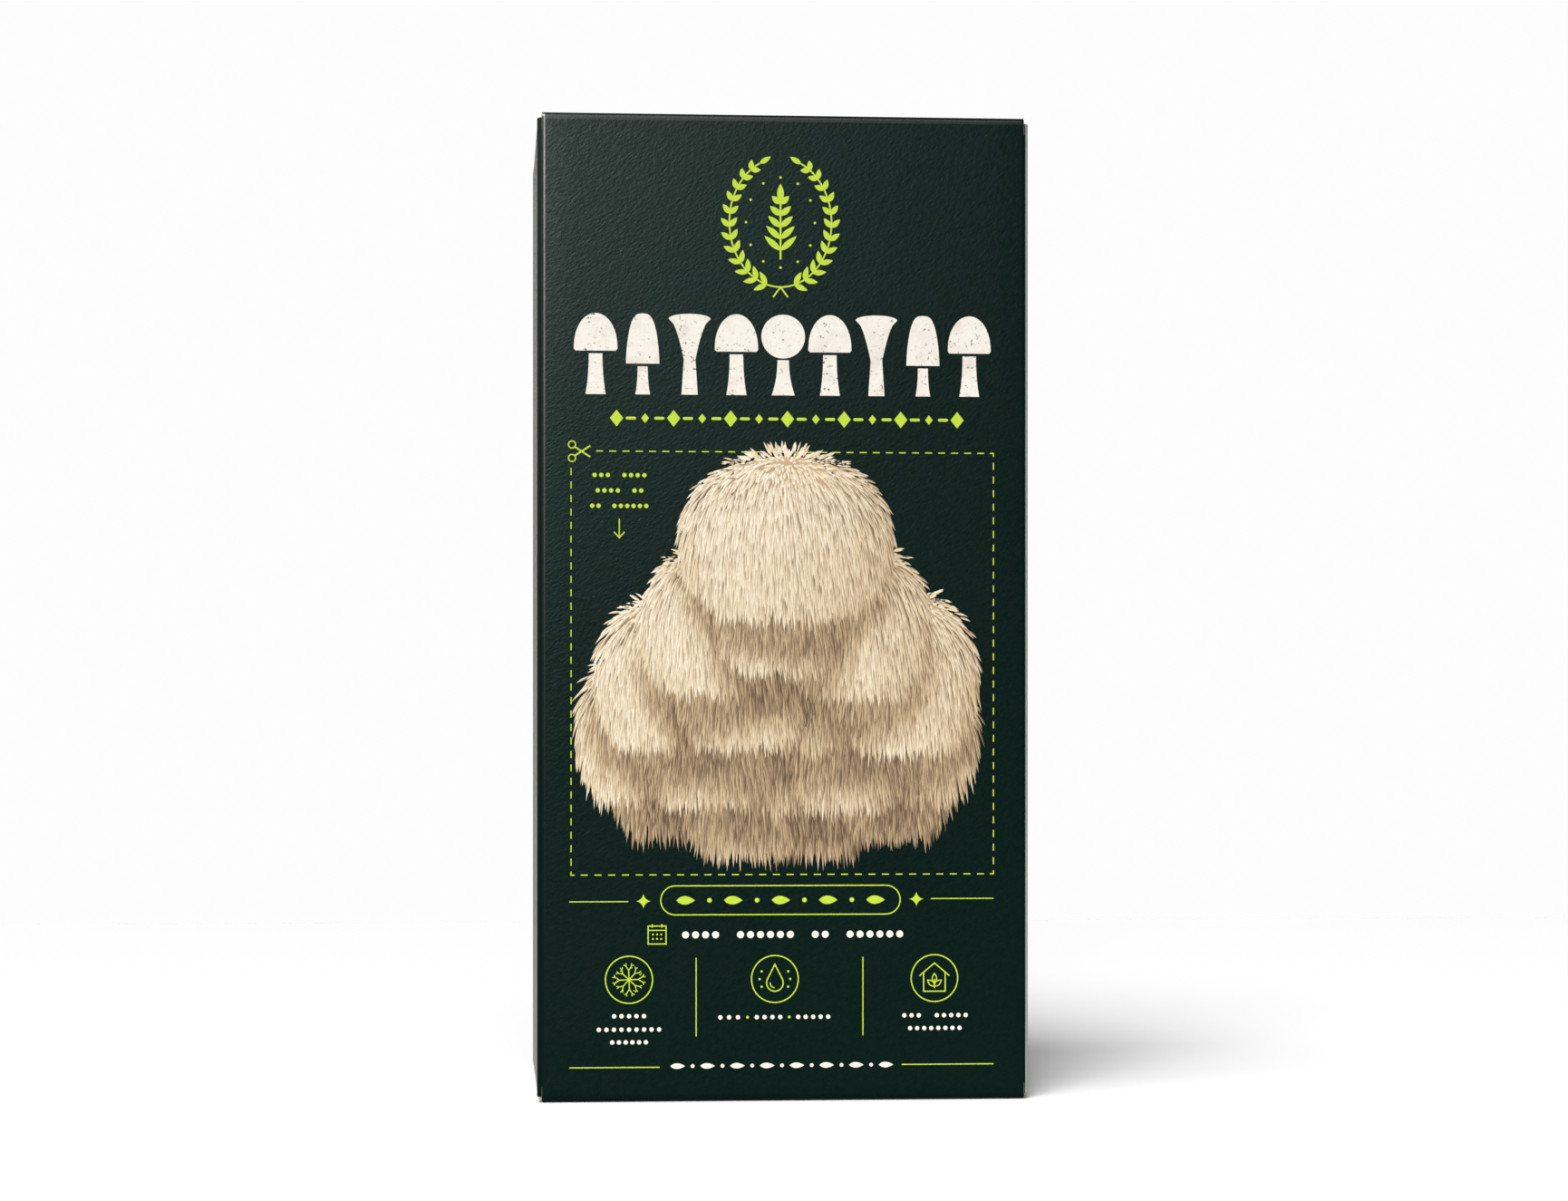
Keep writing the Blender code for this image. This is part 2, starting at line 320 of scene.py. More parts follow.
def bag_film():
    made = Surface("bag_film", srgb(226, 232, 233), 0.2, 0.6)
    made.set(made.shader, "Alpha", 0.34)
    fine = made.noise(420, 3.0, 0.6)
    low = made.bump(made.noise(95, 4.0, 0.6), 0.8, 0.0012)
    made.normal(made.bump(fine, 0.3, 0.0003, under=low))
    made.roughness(fine, 0.14, 0.32)
    return made.material


def filter_cloth():
    made = Surface("filter_cloth", srgb(238, 238, 235), 0.8, 0.2)
    fibre = made.noise(1600, 4.0, 0.7)
    made.colour(made.mix(made.ramp(fibre), srgb(222, 222, 219), srgb(246, 246, 244)))
    made.roughness(fibre, 0.7, 0.9)
    made.normal(made.bump(fibre, 0.6, 0.0002))
    return made.material


def mycelium():
    """White felt of mycelium, thin in places where the brown sawdust shows."""
    made = Surface("mycelium", srgb(236, 231, 219), 0.9, 0.2)
    patch = made.noise(38, 5.0, 0.62)
    chip = made.noise(420, 4.0, 0.6, stretch=(1.0, 1.0, 2.2))
    felt = made.mix(made.ramp(chip), srgb(224, 216, 200), srgb(247, 244, 238))
    wood = made.mix(made.ramp(chip, 0.35, 0.65), srgb(122, 86, 52), srgb(190, 156, 114))
    thin = made.math("MULTIPLY", made.ramp(patch, 0.54, 0.66), made.ramp(chip, 0.35, 0.6))
    made.colour(made.mix(made.ramp(thin, 0.2, 0.8, 0.0, 0.75), felt, wood))
    made.roughness(chip, 0.8, 0.98)
    made.normal(made.bump(chip, 0.7, 0.0006))
    return made.material


# Board meshes

def add_object(name, data):
    made = bpy.data.objects.new(name, data)
    bpy.context.scene.collection.objects.link(made)
    return made


def add_mesh(name, mesh, materials):
    for material in materials:
        mesh.materials.append(material)
    return add_object(name, mesh)


def add_shape(name, shape, materials):
    """A smooth piece made from a bmesh, which is used up."""
    mesh = bpy.data.meshes.new(name)
    shape.to_mesh(mesh)
    shape.free()
    mesh.shade_smooth()
    return add_mesh(name, mesh, materials)


def add_grid(shape, rows):
    """Faces between rows of points, each given back with its row and column."""
    verts = [[shape.verts.new(point) for point in row] for row in rows]
    faces = []
    for r in range(len(rows) - 1):
        for c in range(len(rows[r]) - 1):
            corners = (verts[r][c], verts[r][c + 1], verts[r + 1][c + 1], verts[r + 1][c])
            faces.append((r, c, shape.faces.new(corners)))
    return faces


def spread(start, end, steps):
    """Even steps between two values, both of them included."""
    return [start + (end - start) * i / steps for i in range(steps + 1)]


def radians_range(start, end, steps):
    return [math.radians(a) for a in spread(start, end, steps)]


def arc(centre, start, end, radius=FOLD, steps=FOLD_STEPS):
    """Points round a 2-D centre between two angles in degrees, both ends included."""
    angles = radians_range(start, end, steps)
    return [(centre[0] + radius * math.cos(a), centre[1] + radius * math.sin(a)) for a in angles]


# The board's materials, by the names of its skins
SKINS = {
    "green": green_board("green_board", 0.118),
    "grey": grey_board(),
    "fold": green_board("green_fold", 1.3, 0.07, 0.5, sheen=(1.0, 1.0, 1.0), foot=0.08),
    "bare": bare_board(),
    "edge": cut_edge(),
    "lid_fold": green_board("green_lid_fold", 0.26, 0.05, 0.5, sheen=(1.0, 1.0, 1.0)),
}
SKIN_NUMBER = {name: number for number, name in enumerate(SKINS)}


def board_piece(name, patches):
    """Board with an inner face and cut edges behind a printed face.

    The printed face comes as patches, each a grid of points with its skin, or with a function that gives the
    skin by row and column. The cut edges have distance along and through the board as their UV.
    """
    shape = bmesh.new()
    for rows, skin in patches:
        for row, column, face in add_grid(shape, rows):
            face.material_index = SKIN_NUMBER[skin(row, column) if callable(skin) else skin]
    bmesh.ops.remove_doubles(shape, verts=shape.verts, dist=0.2 * SLIT)
    shape.normal_update()
    outer_faces = list(shape.faces)
    borders = [e for e in shape.edges if e.is_boundary]
    inner = {v: shape.verts.new(v.co - v.normal * BOARD) for v in list(shape.verts)}
    across = shape.loops.layers.uv.new("edge")
    for face in outer_faces:
        back = shape.faces.new([inner[v] for v in reversed(face.verts)])
        back.material_index = SKIN_NUMBER["bare"]
    for border in borders:
        loop = border.link_loops[0]
        near, far = loop.vert, loop.link_loop_next.vert
        rim = shape.faces.new((far, near, inner[near], inner[far]))
        rim.material_index = SKIN_NUMBER["edge"]
        run = (far.co - near.co).normalized()
        for corner in rim.loops:
            outside = corner.vert in (near, far)
            base = near if corner.vert in (near, inner[near]) else far
            corner[across].uv = (base.co.dot(run) / MM, 1.0 if outside else 0.0)
    piece = add_shape(name, shape, SKINS.values())
    piece.data.set_sharp_from_angle(angle=math.radians(SHARP_ANGLE))
    return piece


def wall_columns():
    """Runs of points of the walls in plan, from the raw edge at the back right round to the glued seam tab.

    Each has its z range and its skin.
    """
    flap_x = FLAP_CREASE_X
    front_fold_y = FRONT_Y + FOLD
    back_fold_y = BACK_Y - FOLD
    slit_angle = math.degrees(math.acos((LID_HALF_WIDTH - flap_x) / FOLD))
    wrap_angle = math.degrees(math.acos((FOLD - GREY_WRAP) / FOLD))
    post = (POST_BOTTOM, FLAP_TOP_Z)
    common = (COMMON_LOW, COMMON_HIGH)
    back = (RAW_SETBACK, HEIGHT - RAW_SETBACK)
    tab_x = SIDE_X - BOARD - SLIT
    right = (flap_x, front_fold_y)
    left = (-flap_x, front_fold_y)
    back_left = (-flap_x, back_fold_y)
    seam = (tab_x - FOLD, back_fold_y)
    side = spread(FLAP_BACK_Y, FLAP_FRONT_Y, SIDE_STEPS)
    return [
        ([(SIDE_X, BACK_Y - RAW_SETBACK), (SIDE_X, FLAP_BACK_Y)], post, "grey"),
        ([(SIDE_X, y) for y in side], common, "grey"),
        ([(SIDE_X, FLAP_FRONT_Y)] + arc(right, 0, -wrap_angle, steps=CORNER_STEPS), post, "grey"),
        (arc(right, -wrap_angle, -slit_angle, steps=CORNER_STEPS), post, "green"),
        (arc(right, -slit_angle, -90, steps=CORNER_STEPS), common, "green"),
        ([(x, FRONT_Y) for x in spread(flap_x, -flap_x, FRONT_STEPS)], common, "green"),
        (arc(left, -90, slit_angle - 180, steps=CORNER_STEPS), common, "fold"),
        (arc(left, slit_angle - 180, -180, steps=6), post, "fold"),
        ([(-SIDE_X, front_fold_y), (-SIDE_X, FLAP_FRONT_Y)], post, "grey"),
        ([(-SIDE_X, y) for y in reversed(side)], common, "grey"),
        ([(-SIDE_X, FLAP_BACK_Y), (-SIDE_X, back_fold_y)], post, "grey"),
        (arc(back_left, 180, 90), post, "fold"),
        ([(x, BACK_Y) for x in spread(-flap_x, seam[0], FRONT_STEPS)], back, "green"),
        (arc(seam, 90, 0) + [(tab_x, BACK_Y - SEAM_TAB)], (POST_BOTTOM, COMMON_HIGH), "fold"),
    ]


def carton_walls():
    patches = []
    middle = spread(COMMON_LOW, COMMON_HIGH, 30)
    for points, (low, high), skin in wall_columns():
        heights = ([low] if low < COMMON_LOW else []) + middle + ([high] if high > COMMON_HIGH else [])
        rows = []
        for z in heights:
            beyond = z < COMMON_LOW or z > COMMON_HIGH
            rows.append(eased_ends(points, SLIT if beyond else 0.0, z))
        patches.append((rows[::-1], skin))
    return board_piece("carton_walls", patches)


def eased_ends(points, gap, z):
    """The run at height z, its ends drawn in by a gap where a slit parts it from the next run."""
    first, last = Vector(points[0]), Vector(points[-1])
    if gap:
        first += (Vector(points[1]) - first).normalized() * gap
        last += (Vector(points[-2]) - last).normalized() * gap
    return [Vector((x, y, z)) for x, y in (first, *points[1:-1], last)]


def fold_setback(x):
    """How far the vertical fold has already turned back at this x, measured from the plane of the front."""
    past = max(abs(x) - FLAP_CREASE_X, 0.0)
    return FOLD - math.sqrt(FOLD * FOLD - past * past)


def front_profile_rows(profile):
    """Rows of points along x for each (y, z, share). The share says how far a row follows the side folds."""
    inner = spread(-FLAP_CREASE_X, FLAP_CREASE_X, FRONT_STEPS)
    rounds = spread(FLAP_CREASE_X, LID_HALF_WIDTH - SLIT, CORNER_STEPS)[1:]
    columns = [-x for x in reversed(rounds)] + inner + rounds
    return [[Vector((x, y + share * fold_setback(x), z)) for x in columns] for y, z, share in profile]


def faded(bend):
    """A bend of the profile away from the front, along which the vertical folds fade out."""
    return [(y, z, 1.0 - i / FOLD_STEPS) for i, (y, z) in enumerate(bend)]


def lid_crease_skin(row, column):
    """The left fold runs on over the crease, and the front half of the bend is the lid's shiny fold."""
    if column < CORNER_STEPS:
        return "fold"
    return "lid_fold" if 1 <= row <= FOLD_STEPS // 2 else "green"


def lid_crease():
    """The bend between the front and the lid, as one skin."""
    straight_end = HEIGHT - LID_FOLD - 0.3 * MM
    profile = [(FRONT_Y, COMMON_HIGH, 1.0), (FRONT_Y, straight_end, 1.0)]
    bend = arc((FRONT_Y + LID_FOLD, HEIGHT - LID_FOLD), 180, 90, LID_FOLD)
    profile += [*faded(bend), (LID_CREASE_Y + FLAT_RUN, HEIGHT, 0.0)]
    piece = board_piece("lid_crease", [(front_profile_rows(profile), lid_crease_skin)])
    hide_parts("carton_shell")
    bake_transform(piece)
    return piece


def flap_crease(side):
    """The bend between a side wall and its dust flap."""
    name = SIDE_NAMES[side]
    bend = arc((side * FLAP_CREASE_X, FLAP_TOP_Z - FOLD), 0 if side > 0 else 180, 90)
    profile = [(side * SIDE_X, COMMON_HIGH), *bend, (side * (FLAP_CREASE_X - FLAT_RUN), FLAP_TOP_Z)]
    piece = board_piece(f"flap_crease_{name}", [(side_profile_rows(profile, side), "grey")])
    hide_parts("carton_shell")
    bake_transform(piece)
    return piece


def side_profile_rows(profile, side):
    """Rows of points along y for each (x, z) of a profile, in the order that faces the piece outward."""
    columns = spread(FLAP_FRONT_Y, FLAP_BACK_Y, SIDE_STEPS)[::side]
    return [[Vector((x, y, z)) for y in columns] for x, z in profile]


def carton_base():
    """The glued bottom: the front's fold, the panel under the carton, its tuck, and the side flaps on it."""
    rear = BACK_Y - BOARD - SLIT
    profile = [(FRONT_Y, COMMON_LOW, 1.0), *faded(arc((FRONT_Y + FOLD, FOLD), 180, 270))]
    profile += [(y, 0.0, 0.0) for y in spread(FRONT_Y + FOLD, rear - FOLD, 8)[1:-1]]
    profile += [(y, z, 0.0) for y, z in arc((rear - FOLD, FOLD), 270, 360)]
    profile += [(rear, BOTTOM_TUCK, 0.0)]
    patches = [(front_profile_rows(profile)[::-1], "green")]
    flap_z = BOARD + SLIT
    for side in SIDE_NAMES:
        bend = arc((side * FLAP_CREASE_X, flap_z + FOLD), 0 if side > 0 else 180, -90 if side > 0 else 270)
        path = [(side * SIDE_X, COMMON_LOW), *bend, (side * (SIDE_X - BOTTOM_FLAP_REACH), flap_z)]
        patches.append((side_profile_rows(path, side)[::-1], "grey"))
    return board_piece("carton_base", patches)


def lid_panel():
    """The lid behind its crease, the fold at its back and the tuck, whose lower corners are rounded."""
    tuck_length = 18 * MM
    tuck_corner = 10 * MM
    tuck_half_width = 60 * MM
    lean = math.radians(6.6)
    turn = 90 - math.degrees(lean)
    set_in = FOLD * math.tan(math.radians(turn) / 2)
    centre = (lid_high.y - set_in, HEIGHT - FOLD)
    profile = [(y, HEIGHT) for y in spread(LID_CREASE_Y + FLAT_RUN, centre[0], 10)]
    profile += arc(centre, 90, 90 - turn)[1:]
    bend_end = profile[-1]
    reach = tuck_length - set_in
    half_bend = FOLD_STEPS // 2
    widths = [LID_HALF_WIDTH] * (len(profile) - half_bend) + [tuck_half_width] * half_bend
    corner_steps = [reach - tuck_corner * (1 - math.sin(a)) for a in radians_range(0, 90, 9)]
    for down in [0.2 * reach] + [down for down in corner_steps if down > 0.1 * MM]:
        profile.append((bend_end[0] - math.sin(lean) * down, bend_end[1] - math.cos(lean) * down))
        past = max(down - (reach - tuck_corner), 0.0)
        widths.append(tuck_half_width - tuck_corner + math.sqrt(max(tuck_corner**2 - past**2, 0.0)))
    rows = []
    for (y, z), width in zip(profile, widths):
        rows.append([Vector((x, y, z)) for x in spread(-width, width, 20)])
    piece = board_piece("lid_panel", [(rows, "green")])
    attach(piece, "lid")
    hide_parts("top_lid")
    return piece


def dust_flap(side):
    """Dust flap in rows from its crease to its tip, sloped at the front and tapered at the back."""
    name = SIDE_NAMES[side]
    front_slope = 32 * MM
    back_taper = 4 * MM
    corner = 6 * MM
    front_rounding = 0.6
    start = FLAP_CREASE_X - FLAT_RUN
    tip = FLAP_CREASE_X - (flap_high.x - flap_low.x)
    rows = []
    for share in spread(0.0, 1.0, 24):
        x = start + (tip - start) * share
        past = max(tip + corner - x, 0.0)
        rounding = corner - math.sqrt(max(corner**2 - past**2, 0.0))
        front = FLAP_FRONT_Y + front_slope * share + front_rounding * rounding
        back = FLAP_BACK_Y - back_taper * share - rounding
        rows.append([Vector((side * x, y, FLAP_TOP_Z)) for y in spread(front, back, 14)][::side])
    piece = board_piece(f"dust_flap_{name}_board", [(rows, "grey")])
    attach(piece, f"{name}_flap")
    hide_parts(f"dust_flap_{name}")
    return piece


def carton():
    for piece in (carton_walls(), carton_base()):
        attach(piece, "carton")
        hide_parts("carton_shell")
    lid_crease()
    lid_panel()
    for side in SIDE_NAMES:
        flap_crease(side)
        dust_flap(side)


# Print

INKS = {
    "lime": ink("lime_ink", LIME),
    "cream": ink("cream_ink", CREAM),
    "worn_cream": ink("worn_cream_ink", CREAM, worn=True),
    "picture": picture_ink(),
}


class Ink:
    """Flat marks on the front, gathered into one piece. Places on it are (x, z) in millimetres."""

    def __init__(self):
        self.points = []
        self.faces = []
        self.colours = []

    def polygon(self, outline, colours=None, layer=0.0):
        """A filled outline, turned to face forward."""
        turned = sum(a[0] * b[1] - b[0] * a[1] for a, b in zip(outline, [*outline[1:], outline[0]]))
        if turned < 0:
            outline = outline[::-1]
            colours = colours[::-1] if colours else None
        first = len(self.points)
        level = layer if colours else len(self.faces) % PLAIN_LEVELS * PLAIN_STEP
        y = FRONT_Y - INK_LIFT - level * INK_LAYER
        self.points += [(x * MM, y, z * MM) for x, z in outline]
        self.faces.append(tuple(range(first, len(self.points))))
        if colours:
            self.colours += colours

    def line(self, path, width, closed=False):
        """A line of even width with mitred bends."""
        sharpest = 0.4
        points = [Vector(p) for p in path]
        count = len(points)
        sides = []
        for i, point in enumerate(points):
            before = points[i - 1] if i or closed else None
            after = points[(i + 1) % count] if i < count - 1 or closed else None
            into = (point - before).normalized() if before else (after - point).normalized()
            out = (after - point).normalized() if after else into
            across = Vector((-into.y - out.y, into.x + out.x)).normalized()
            mitre = width / 2 / max(across.dot(Vector((-into.y, into.x))), sharpest)
            sides.append((point + across * mitre, point - across * mitre))
        for i in range(count if closed else count - 1):
            near, far = sides[i], sides[(i + 1) % count]
            self.polygon([tuple(p) for p in (near[0], near[1], far[1], far[0])])

    def rule(self, left, right, z):
        self.line([(left, z), (right, z)], HAIRLINE)

    def disc(self, centre, radius, steps):
        self.polygon(circle(centre, radius, steps))

    def ring(self, centre, radius, width, steps=48):
        self.line(circle(centre, radius, steps), width, closed=True)

    def bead_ring(self, centre, angles, reach_x, reach_z, radius, steps=10):
        """Beads on an ellipse, at angles in degrees."""
        for angle in angles:
            self.disc(on_ellipse(centre, angle, reach_x, reach_z), radius, steps)

    def bead_row(self, left, right, z, words, size=1.15):
        """Plain beads between two places, in groups of the given numbers, such as small print would fill."""
        gap = 1.5
        pitch = (right - left - size) / (sum(words) - 1 + gap * (len(words) - 1))
        x = left + size / 2
        for word in words:
            for i in range(word):
                self.disc((x, z), size / 2, 16)
                x += pitch
            x += gap * pitch

    def seed_row(self, places, z, length, width, bead):
        """Seeds and beads in turn."""
        for i, x in enumerate(places):
            if i % 2:
                self.disc((x, z), bead, 14)
            else:
                self.polygon(leaf_outline((x - length / 2, z), length, 0, width))

    def finish(self, name, ink_name):
        mesh = bpy.data.meshes.new(name)
        mesh.from_pydata(self.points, [], self.faces)
        if self.colours:
            layer = mesh.color_attributes.new("ink", "FLOAT_COLOR", "POINT")
            flat = np.ones((len(self.colours), 4), np.float32)
            flat[:, :3] = self.colours
            layer.data.foreach_set("color", flat.ravel())
        mesh.update()
        piece = add_mesh(name, mesh, [INKS[ink_name]])
        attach(piece, "carton")


def circle(centre, radius, steps):
    return arc(centre, 0, 360, radius, steps)[:-1]


def pill(left, right, z, height, steps):
    """Outline of a bar with round ends."""
    r = height / 2
    return arc((right - r, z), -90, 90, r, steps) + arc((left + r, z), 90, 270, r, steps)


def on_ellipse(centre, angle, reach_x, reach_z):
    a = math.radians(angle)
    return (centre[0] + reach_x * math.cos(a), centre[1] + reach_z * math.sin(a))


def heading(start, end):
    """The way from one place to another, as an angle in degrees."""
    way = Vector(end) - Vector(start)
    return math.degrees(math.atan2(way.y, way.x))


def signed_power(value, power):
    return math.copysign(abs(value) ** power, value)


def leaf_outline(base, length, angle, width):
    """A pointed leaf from its base along an angle in degrees."""
    along = Vector((math.cos(math.radians(angle)), math.sin(math.radians(angle))))
    across = Vector((-along.y, along.x))
    start = Vector(base)
    shares = spread(0.0, 1.0, 8)
    swell = [math.sin(math.pi * s) ** 0.8 * (1.15 - 0.4 * s) for s in shares]
    one = [start + along * length * s + across * width / 2 * w for s, w in zip(shares, swell)]
    other = [start + along * length * s - across * width / 2 * w for s, w in zip(shares, swell)]
    return [tuple(p) for p in one + other[-2:0:-1]]


def wreath():
    """Two leafy branches round a small sprig, open at the top, with a ring of beads between."""
    made = Ink()
    centre = (-1.0, 226.2)
    x, z = centre
    reach_x, reach_z = 13.2, 16.6
    for side in (-1, 1):
        stem = [on_ellipse(centre, angle, side * reach_x, reach_z) for angle in spread(-90, 66, 40)]
        made.line(stem, BOLD_LINE)
        for i in range(4, 40, 3):
            for tilt in (-42, 42):
                angle = heading(stem[i - 1], stem[i + 1]) + tilt
                made.polygon(leaf_outline(stem[i], 3.9 - 0.035 * i, angle, 1.5))
        made.polygon(leaf_outline(stem[-1], 3.4, heading(stem[-2], stem[-1]), 1.4))
        made.line([(x, z - reach_z), (x + side * 1.9, z - reach_z - 2.6)], BOLD_LINE)
    made.line([(x, z - 9.5), (x, z + 5.6)], 0.5)
    for i in range(5):
        for side in (-1, 1):
            made.polygon(leaf_outline((x, z - 7.2 + 3.0 * i), 5.6 - 0.65 * i, 90 - side * 48, 1.7))
    made.polygon(leaf_outline((x, z + 5.4), 4.6, 90, 1.9))
    made.bead_ring(centre, spread(0, 360, 12)[:-1], 8.9, 11.6, 0.34)
    made.finish("print_wreath", "lime")


def toadstool(made, x, low, high, style):
    """One bold silhouette of the frieze, between two heights."""
    height = high - low
    gap = 0.7
    half_turn = radians_range(0, 180, 24)
    if style == "dome":
        half, rim, cap = 5.6, 0.5, 0.44 * height
        skirt = 0.92 * half
        cap_low = high - cap
        outline = [(x + half * math.cos(a), cap_low + cap * math.sin(a) ** 0.9) for a in half_turn]
        made.polygon([*outline, (x - skirt, cap_low - rim), (x + skirt, cap_low - rim)])
        stalk(made, x, low, cap_low - rim - gap, 1.75, 2.6)
    elif style == "bell":
        half, cap = 4.3, 0.62 * height
        cap_low = high - cap
        outline = []
        for a in half_turn:
            outline.append((x + half * signed_power(math.cos(a), 0.62), cap_low + cap * math.sin(a) ** 1.25))
        made.polygon(outline)
        stalk(made, x, low, cap_low - gap, 1.3, 1.9)
    elif style == "funnel":
        half, rim, foot = 5.4, 1.3, 2.1
        rim_low = high - rim
        top = [(x + half * math.cos(a), rim_low + rim * math.sin(a)) for a in radians_range(0, 180, 16)]
        left = [(x - half + 3.9 * s**0.55, rim_low - 0.5 * height * s) for s in spread(0.0, 1.0, 8)[1:]]
        right = [(2 * x - px, pz) for px, pz in reversed(left)]
        made.polygon([*top, *left, (x - foot, low), (x + foot, low), *right])
    elif style == "puff":
        r = 0.272 * height
        made.polygon(circle((x, high - r), r, 32))
        stalk(made, x, low, high - 2 * r - gap * 0.6, 1.5, 3.0)


def stalk(made, x, low, top, half_top, half_low):
    side = [(half_top + (half_low - half_top) * s**2.2, top + (low - top) * s) for s in spread(0.0, 1.0, 8)]
    made.polygon([(x - w, z) for w, z in side] + [(x + w, z) for w, z in reversed(side)])


def frieze():
    """A band of plain toadstool silhouettes."""
    made = Ink()
    left, right, low, high = -54.6, 54.0, 181.7, 202.5
    styles = ["dome", "bell", "funnel", "dome", "puff", "dome", "funnel", "bell", "dome"]
    pitch = (right - left) / len(styles)
    for i, style in enumerate(styles):
        toadstool(made, left + pitch * (i + 0.5), low, high, style)
    made.finish("print_frieze", "worn_cream")


def lozenge_row():
    """Large and small lozenges in turn, with a bar between each two."""
    made = Ink()
    left, right, z = -43.2, 44.8, 175.6
    gap, bar = 2.35, 0.75
    places = spread(left, right, 12)
    for i, x in enumerate(places):
        tall = 2.15 if i % 2 == 0 else 1.25
        made.polygon([(x - 0.8 * tall, z), (x, z - tall), (x + 0.8 * tall, z), (x, z + tall)])
        if i < len(places) - 1:
            made.polygon(pill(x + gap, places[i + 1] - gap, z, bar, 8))
    made.finish("print_lozenges", "lime")


def cut_frame():
    """Dashed rectangle to cut along, with a pair of scissors, an arrow and three short rows of beads."""
    made = Ink()
    left, right, low, high = -54.86, 54.26, 58.35, 167.1
    clear, scissors_clear = 1.6, 5.6
    dashes(made, (left + scissors_clear, high), (right - clear, high))
    dashes(made, (left + clear, low), (right - clear, low))
    dashes(made, (left, low + clear), (left, high - 3.6))
    dashes(made, (right, low + clear), (right, high - clear))
    corner = 0.9
    for x, z, to_x, to_z in ((right, high, -1, -1), (right, low, -1, 1), (left, low, 1, 1)):
        made.line([(x + to_x * corner, z), (x, z), (x, z + to_z * corner)], DASH_LINE)
    scissors(made, (left + 2.1, high - 0.1))
    x, tip, tail = -42.5, 144.9, 149.8
    barb, barb_high = 1.35, 1.5
    made.line([(x, tail), (x, tip)], THIN_LINE)
    made.line([(x - barb, tip + barb_high), (x, tip), (x + barb, tip + barb_high)], THIN_LINE)
    made.bead_row(-49.4, -35.5, 160.95, (3, 4))
    made.bead_row(-48.6, -36.3, 157.0, (4, 2))
    made.bead_row(-50.0, -35.0, 153.05, (2, 6))
    made.finish("print_cut_frame", "lime")


def dashes(made, start, end):
    """Thirty dashes in line from one place to another."""
    dash, count = 1.8, 30
    start, end = Vector(start), Vector(end)
    half = (end - start).normalized() * dash / 2
    for share in spread(0.0, 1.0, 2 * count)[1::2]:
        middle = start.lerp(end, share)
        made.line([middle - half, middle + half], DASH_LINE)


def scissors(made, pivot):
    x, z = pivot
    for side in (-1, 1):
        grip = (x - 1.85, z - side * 1.72)
        made.ring(grip, 0.92, THIN_LINE, 20)
        made.line([(grip[0] + 0.72, grip[1] + side * 0.6), (x + 2.85, z + side * 1.45)], BOLD_LINE)


def sparkle(made, centre):
    """A star of four points with hollow sides."""
    x, z = centre
    reach, hollow = 1.95, 3.3
    points = []
    for a in radians_range(0, 360, 32)[:-1]:
        along, up = signed_power(math.cos(a), hollow), signed_power(math.sin(a), hollow)
        points.append((x + reach * along, z + reach * up))
    made.polygon(points)


def badge_row():
    """Two rules, two sparkles and a long pill outline that holds a row of seeds."""
    made = Ink()
    made.rule(RULE_LEFT, -40.2, 51.5)
    made.rule(38.0, RULE_RIGHT, 52.0)
    sparkle(made, (-36.3, 51.6))
    sparkle(made, (34.2, 51.9))
    left, right, low, high = -31.85, 30.0, 48.05, 55.5
    margin = 6.4
    z = (high + low) / 2
    made.line(pill(left, right, z, high - low, 16), THIN_LINE, closed=True)
    made.seed_row(spread(left + margin, right - margin, 8), z, 4.8, 2.3, bead=0.62)
    made.finish("print_badge_row", "lime")


def pictograms():
    """A page of days, and three ringed signs: a branching web, a drop and a house with a sprout."""
    made = Ink()
    day_page(made, (-32.8, 42.9))
    centres = [(-40.0, 31.45), (-2.45, 31.45), (38.9, 31.45)]
    for centre in centres:
        made.ring(centre, 6.05, THIN_LINE)
    for sign, centre in zip((web, drop, house), centres):
        sign(made, centre)
    for x in (-22.76, 20.32):
        made.line([(x, 16.8), (x, 37.05)], HAIRLINE)
    made.rule(RULE_LEFT, -32.1, 8.95)
    made.rule(30.4, RULE_RIGHT, 9.2)
    for x in (-9.5, 1.25):
        made.disc((x, 21.65), 0.38, 12)
    made.finish("print_pictograms", "lime")


def day_page(made, centre):
    x, z = centre
    half = 2.3
    page = [(x - half, z - half), (x + half, z - half), (x + half, z + half), (x - half, z + half)]
    made.line(page, THIN_LINE, closed=True)
    made.rule(x - half, x + half, z + 1.2)
    for dx in (-1.25, 1.25):
        made.line([(x + dx, z + half - 0.4), (x + dx, z + half + 0.5)], THIN_LINE)
    for dx in (-1.05, 0.0, 1.05):
        for dz in (0.15, -1.0):
            made.disc((x + dx, z + dz), 0.25, 10)


def web(made, centre):
    for k in range(8):
        branch(made, centre, 92 + 45 * k, 2.15 if k % 2 else 2.4, HAIRLINE, 2)
    made.bead_ring(centre, spread(24, 294, 5), 3.1, 3.1, 0.17, 8)


def branch(made, start, angle, length, width, forks):
    end = on_ellipse(start, angle, length, length)
    made.line([start, end], width)
    if forks:
        for turn in (-34, 31):
            branch(made, end, angle + turn, length * 0.55, width * 0.9, forks - 1)


def drop(made, centre):
    """A drop with a highlight, and three beads to each side."""
    x, z = centre
    middle = (x, z - 1.0)
    tangent = 28
    sides = arc(middle, 180 - tangent, 360 + tangent, 2.15, 28)
    made.line([(x, z + 3.8), *sides], THIN_LINE, closed=True)
    made.line(arc(middle, 175, 265, 1.25, 8), HAIRLINE)
    made.bead_ring(centre, (150, 180, 210, 30, 0, -30), 3.95, 3.95, 0.3)


